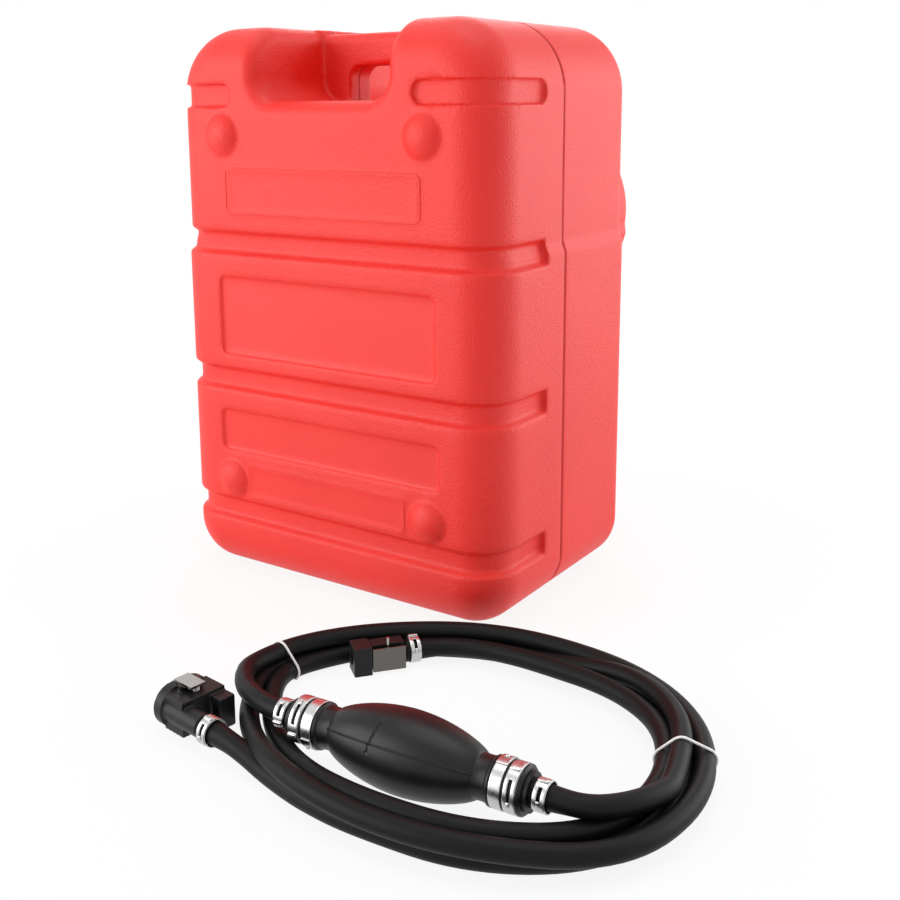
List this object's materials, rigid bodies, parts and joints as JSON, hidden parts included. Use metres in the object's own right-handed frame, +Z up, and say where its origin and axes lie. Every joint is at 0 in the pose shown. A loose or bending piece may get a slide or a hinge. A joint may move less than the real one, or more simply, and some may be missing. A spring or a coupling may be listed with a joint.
{
  "type": "portable outboard fuel tank",
  "caption": "Portable boat fuel tank of red plastic with a moulded carry handle and filler cap, beside a coiled fuel hose with primer bulb and quick connectors.",
  "frame": {"origin": "middle of the tank's base, on the surface it stands on", "axes": "+Z up along the tank's height, -Y out of its front face (the face with the domed feet), +X to the right seen from the front; the filler and the pickup are on the rear face, which is the top when the tank is in use"},
  "size_m": [0.4016, 0.4244, 0.35],
  "materials": {
    "tank": "pebbled",
    "black_plastic": "satin",
    "rubber": "satin",
    "hose": "satin",
    "steel": "polished",
    "white_plastic": "matte",
    "needle": "matte",
    "window": "clear",
    "brass": "satin"
  },
  "bodies": {
    "tank": {"bulb_bands": "steel", "bulb_inlet": "black_plastic", "bulb_outlet": "black_plastic", "coil_ties": "white_plastic", "engine_connector": "black_plastic", "engine_latch_pin": "steel", "engine_latch_spring": "steel", "engine_plunger_spring": "steel", "engine_seal": "rubber", "flange_screws": "steel", "float_pin": "steel", "gauge_bracket": "black_plastic", "gauge_dial": "white_plastic", "gauge_lens": "window", "hose_bulb_inlet": "hose", "hose_bulb_outlet": "hose", "hose_clamps": "steel", "hose_coil": "hose", "hose_engine_end": "hose", "hose_tank_end": "hose", "inlet_check_spring": "steel", "inlet_retainer": "black_plastic", "outlet_check_spring": "steel", "outlet_nipple": "brass", "outlet_retainer": "black_plastic", "outlet_spring": "steel", "pickup_flange": "black_plastic", "pickup_gasket": "rubber", "pickup_strainer": "white_plastic", "pickup_tube": "black_plastic", "primer_bulb": "rubber", "tank_connector": "black_plastic", "tank_latch_pin": "steel", "tank_latch_spring": "steel", "tank_plunger_spring": "steel", "tank_seal": "rubber", "tank_shell": "tank"},
    "cap": {"filler_cap": "black_plastic", "filler_gasket": "rubber"},
    "vent": {"vent_screw": "black_plastic", "vent_seal": "rubber"},
    "float": {"float_arm": "steel", "gauge_float": "black_plastic"},
    "needle": {"gauge_needle": "needle"},
    "outlet_pin": {"outlet_valve": "brass"},
    "engine_lever": {"engine_latch": "steel"},
    "tank_lever": {"tank_latch": "steel"},
    "engine_pin_valve": {"engine_plunger": "black_plastic"},
    "tank_pin_valve": {"tank_plunger": "black_plastic"},
    "bulb_inlet_disc": {"inlet_check": "black_plastic"},
    "bulb_outlet_disc": {"outlet_check": "black_plastic"}
  },
  "joints": [
    {"name": "cap_turn", "type": "hinge", "parent": "tank", "child": "cap", "pos_m": [0.05, 0.112, 0.232], "axis": [0, 1, 0], "range_deg": [0, 540]},
    {"name": "vent_turn", "type": "hinge", "parent": "cap", "child": "vent", "pos_m": [0.05, 0.13, 0.232], "axis": [0, 1, 0], "range_deg": [0, 450]},
    {"name": "float_swing", "type": "hinge", "parent": "tank", "child": "float", "pos_m": [-0.071, 0.064, 0.232], "axis": [-1, 0, 0], "range_deg": [0, 60]},
    {"name": "needle_turn", "type": "hinge", "parent": "tank", "child": "needle", "pos_m": [-0.071, 0.1, 0.232], "axis": [0, 1, 0], "range_deg": [0, 120]},
    {"name": "outlet_valve_press", "type": "slide", "parent": "tank", "child": "outlet_pin", "axis": [0, -1, 0], "range_m": [0, 0.003], "stiffness_N_per_m": 300, "springref_m": -0.004, "deforming": ["outlet_spring"]},
    {"name": "engine_valve_press", "type": "slide", "parent": "tank", "child": "engine_pin_valve", "axis": [0.9903, -0.1392, 0], "range_m": [0, 0.003], "stiffness_N_per_m": 300, "springref_m": -0.004, "deforming": ["engine_plunger_spring"]},
    {"name": "tank_valve_press", "type": "slide", "parent": "tank", "child": "tank_pin_valve", "axis": [0.632, 0.7749, 0], "range_m": [0, 0.003], "stiffness_N_per_m": 300, "springref_m": -0.004, "deforming": ["tank_plunger_spring"]},
    {"name": "bulb_inlet_open", "type": "slide", "parent": "tank", "child": "bulb_inlet_disc", "axis": [-0.998, -0.0628, 0], "range_m": [0, 0.002], "stiffness_N_per_m": 60, "springref_m": -0.003, "deforming": ["inlet_check_spring"]},
    {"name": "bulb_outlet_open", "type": "slide", "parent": "tank", "child": "bulb_outlet_disc", "axis": [-0.998, -0.0628, 0], "range_m": [0, 0.002], "stiffness_N_per_m": 60, "springref_m": -0.003, "deforming": ["outlet_check_spring"]},
    {"name": "engine_latch_press", "type": "hinge", "parent": "tank", "child": "engine_lever", "pos_m": [0.04097, -0.24042, 0.0218], "axis": [0.1392, 0.9903, 0], "range_deg": [0, 12], "stiffness_Nm_per_rad": 0.05, "springref_deg": -17.19, "deforming": ["engine_latch_spring"]},
    {"name": "tank_latch_press", "type": "hinge", "parent": "tank", "child": "tank_lever", "pos_m": [0.089, -0.14017, 0.008], "axis": [0, 0, 1], "range_deg": [0, 8], "stiffness_Nm_per_rad": 0.05, "springref_deg": -17.19, "deforming": ["tank_latch_spring"]}
  ],
  "couplings": [
    {"joint": "needle_turn", "follows": "float_swing", "ratio": 2}
  ]
}
